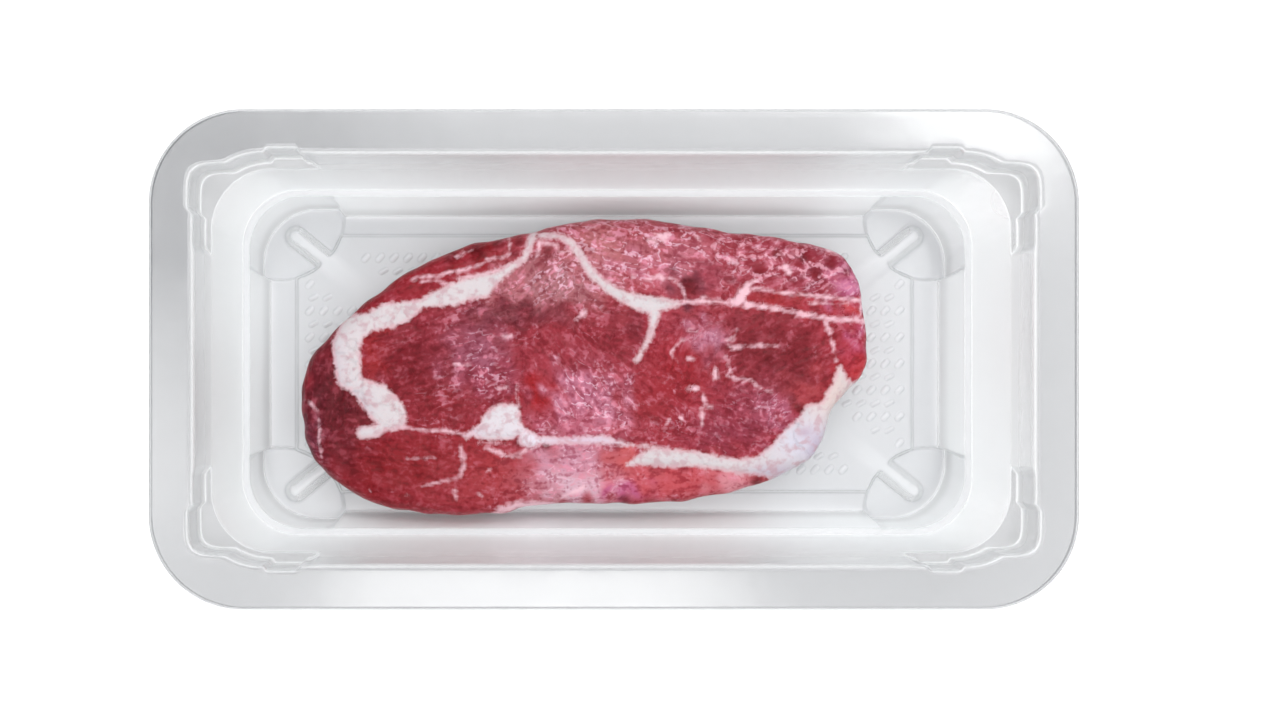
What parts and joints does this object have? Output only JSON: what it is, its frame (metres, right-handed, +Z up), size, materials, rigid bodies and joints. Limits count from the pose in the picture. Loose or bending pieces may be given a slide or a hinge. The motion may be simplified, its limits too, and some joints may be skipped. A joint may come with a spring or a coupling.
{
  "type": "meat tray pack",
  "caption": "Open clear plastic meat tray with a wide flat rim, stepped walls, denesting corners and a raised floor, holding a boneless marbled raw steak.",
  "frame": {"origin": "on the surface the tray stands on, under the middle of the tray", "axes": "+X along the tray towards its empty end, +Y across it, +Z up out of the open top"},
  "size_m": [0.26, 0.14, 0.048],
  "materials": {
    "clear_plastic": "milky clear formed sheet, smooth rim, embossed floor",
    "raw_meat": "moist raw beef, dark red lean with pale seams of fat"
  },
  "bodies": {
    "root": {"tray": "clear_plastic", "steak": "raw_meat"}
  },
  "joints": []
}
